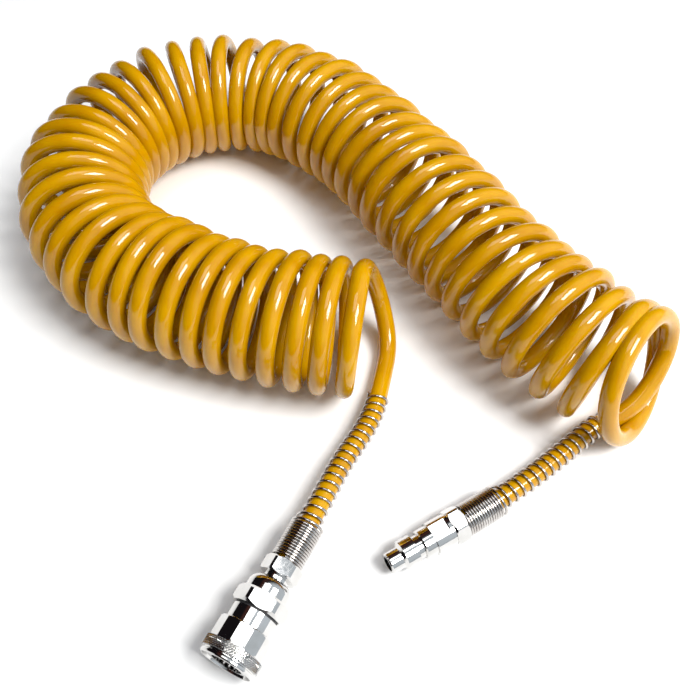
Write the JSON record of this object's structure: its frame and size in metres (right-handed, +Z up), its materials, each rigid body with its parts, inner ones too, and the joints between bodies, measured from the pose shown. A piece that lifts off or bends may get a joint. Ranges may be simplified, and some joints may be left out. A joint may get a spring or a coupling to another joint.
{
  "type": "coiled air hose",
  "caption": "Coiled translucent yellow air hose with a quick-release socket at one end, a quick-release plug at the other and a spring guard at each.",
  "frame": {"origin": "On the floor under the middle of the box round the two couplings, with the free hose, its coil and its spring guards left out", "axes": "+Z up from the floor. +X to the right and +Y away from a viewer who has the two couplings nearest and the coil's arc behind them. The socket's axis lies 62.2 degrees from +X and the plug's 30 degrees from +X, both level"},
  "size_m": [0.2974, 0.3255, 0.06],
  "materials": {
    "hose": "glossy translucent polyurethane",
    "plated_steel": "bright nickel plate",
    "guard_wire": "bright plated spring wire",
    "spring_wire": "spring steel",
    "ball_steel": "polished bearing steel",
    "valve_brass": "turned brass",
    "seal": "black nitrile rubber"
  },
  "bodies": {
    "hose_and_couplings": {"hose_coil": "hose", "hose_tail_socket": "hose", "hose_tail_plug": "hose", "guard_socket": "guard_wire", "guard_plug": "guard_wire", "socket_front_body": "plated_steel", "socket_rear_body": "plated_steel", "socket_gasket": "seal", "socket_packing": "seal", "socket_snap_ring": "spring_wire", "socket_nut": "plated_steel", "socket_ferrule": "valve_brass", "sleeve_spring": "spring_wire", "valve_spring": "spring_wire", "plug_body": "plated_steel", "plug_washer": "plated_steel", "plug_nut": "plated_steel", "plug_ferrule": "valve_brass"},
    "sleeve": {"socket_sleeve": "plated_steel"},
    "poppet": {"valve_poppet": "valve_brass"},
    "ball_1": {"locking_ball_1": "ball_steel"},
    "ball_2": {"locking_ball_2": "ball_steel"},
    "ball_3": {"locking_ball_3": "ball_steel"},
    "ball_4": {"locking_ball_4": "ball_steel"},
    "ball_5": {"locking_ball_5": "ball_steel"},
    "ball_6": {"locking_ball_6": "ball_steel"}
  },
  "joints": [
    {"name": "sleeve_slide", "type": "slide", "parent": "hose_and_couplings", "child": "sleeve", "axis": [0.4664, 0.8846, 0], "range_m": [0, 0.0028], "stiffness_N_per_m": 1500, "springref_m": -0.006, "deforming": ["sleeve_spring"]},
    {"name": "valve_slide", "type": "slide", "parent": "hose_and_couplings", "child": "poppet", "axis": [0.4664, 0.8846, 0], "range_m": [0, 0.004], "stiffness_N_per_m": 800, "springref_m": -0.003, "deforming": ["valve_spring"]},
    {"name": "ball_1_lift", "type": "slide", "parent": "hose_and_couplings", "child": "ball_1", "axis": [0.5803, -0.306, 0.7547], "range_m": [0, 0.00098]},
    {"name": "ball_2_lift", "type": "slide", "parent": "hose_and_couplings", "child": "ball_2", "axis": [0.8683, -0.4578, -0.1908], "range_m": [0, 0.00098]},
    {"name": "ball_3_lift", "type": "slide", "parent": "hose_and_couplings", "child": "ball_3", "axis": [0.288, -0.1518, -0.9455], "range_m": [0, 0.00098]},
    {"name": "ball_4_lift", "type": "slide", "parent": "hose_and_couplings", "child": "ball_4", "axis": [-0.5803, 0.306, -0.7547], "range_m": [0, 0.00098]},
    {"name": "ball_5_lift", "type": "slide", "parent": "hose_and_couplings", "child": "ball_5", "axis": [-0.8683, 0.4578, 0.1908], "range_m": [0, 0.00098]},
    {"name": "ball_6_lift", "type": "slide", "parent": "hose_and_couplings", "child": "ball_6", "axis": [-0.288, 0.1518, 0.9455], "range_m": [0, 0.00098]}
  ],
  "couplings": [
    {"joint": "ball_1_lift", "follows": "sleeve_slide", "ratio": 0.35},
    {"joint": "ball_2_lift", "follows": "sleeve_slide", "ratio": 0.35},
    {"joint": "ball_3_lift", "follows": "sleeve_slide", "ratio": 0.35},
    {"joint": "ball_4_lift", "follows": "sleeve_slide", "ratio": 0.35},
    {"joint": "ball_5_lift", "follows": "sleeve_slide", "ratio": 0.35},
    {"joint": "ball_6_lift", "follows": "sleeve_slide", "ratio": 0.35}
  ]
}
